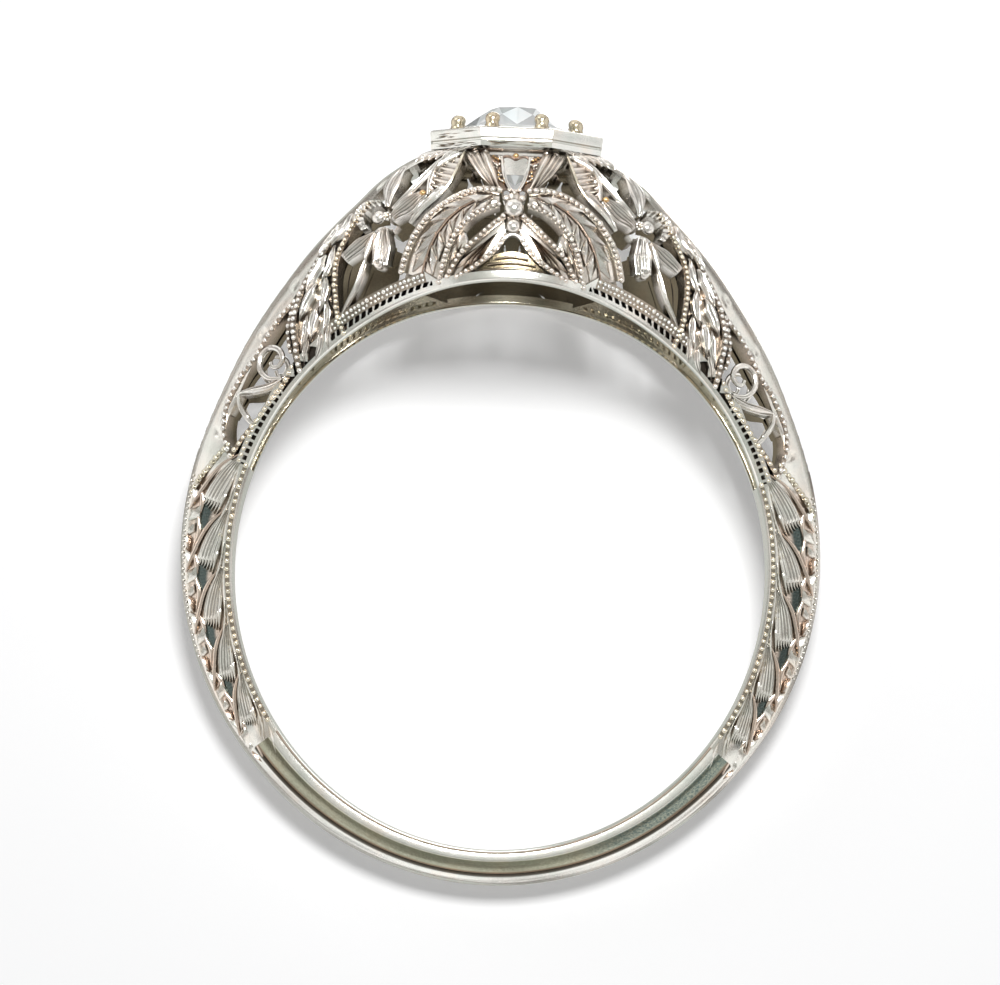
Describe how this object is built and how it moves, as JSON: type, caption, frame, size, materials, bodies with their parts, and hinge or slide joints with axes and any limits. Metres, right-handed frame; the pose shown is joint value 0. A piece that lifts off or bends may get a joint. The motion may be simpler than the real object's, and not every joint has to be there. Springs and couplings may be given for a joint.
{
  "type": "engagement ring",
  "caption": "Antique white-gold engagement ring: pierced floral filigree head, octagonal plate, round old-cut diamond in bead prongs, and an engraved tapering shank.",
  "frame": {"origin": "centre of the finger hole", "axes": "+Z from the centre of the finger hole up through the stone, Y along the finger with the front face at -Y, +X to the right in the front view"},
  "size_m": [0.0194, 0.008, 0.0236],
  "materials": {
    "polished": "white gold, hand polished, with fine scratches from wear",
    "engraved": "white gold, bright-cut wheat engraving with darkened recesses",
    "filigree": "white gold, pierced and chased, warm grey patina in the recesses",
    "bead": "yellowish white gold, rounded beads",
    "diamond": "clear faceted diamond"
  },
  "bodies": {
    "root": {"bore_rail_back": "polished", "bore_rail_front": "polished", "bow_boss_back": "filigree", "bow_boss_front": "filigree", "bow_tail_back_left": "filigree", "bow_tail_back_right": "filigree", "bow_tail_front_left": "filigree", "bow_tail_front_right": "filigree", "bow_wing_back_left": "filigree", "bow_wing_back_right": "filigree", "bow_wing_front_left": "filigree", "bow_wing_front_right": "filigree", "fan_leaf_back_left": "filigree", "fan_leaf_back_right": "filigree", "fan_leaf_front_left": "filigree", "fan_leaf_front_right": "filigree", "flower_back_left": "filigree", "flower_back_right": "filigree", "flower_front_left": "filigree", "flower_front_right": "filigree", "gallery_collar": "filigree", "head_plate": "polished", "leaf_band_back_left": "filigree", "leaf_band_back_right": "filigree", "leaf_band_front_left": "filigree", "leaf_band_front_right": "filigree", "panel_border_back_left": "filigree", "panel_border_back_right": "filigree", "panel_border_front_left": "filigree", "panel_border_front_right": "filigree", "prong_1": "bead", "prong_2": "bead", "prong_3": "bead", "prong_4": "bead", "prong_5": "bead", "prong_6": "bead", "prong_7": "bead", "prong_8": "bead", "scroll_back_left": "filigree", "scroll_back_right": "filigree", "scroll_frame_back_left": "filigree", "scroll_frame_back_right": "filigree", "scroll_frame_front_left": "filigree", "scroll_frame_front_right": "filigree", "scroll_front_left": "filigree", "scroll_front_right": "filigree", "shank_arm_left": "engraved", "shank_arm_right": "engraved", "shank_band": "polished", "shoulder_crest_left": "engraved", "shoulder_crest_right": "engraved", "side_leaf_back_left": "filigree", "side_leaf_back_right": "filigree", "side_leaf_front_left": "filigree", "side_leaf_front_right": "filigree", "stone": "diamond", "stone_collet": "polished"}
  },
  "joints": []
}
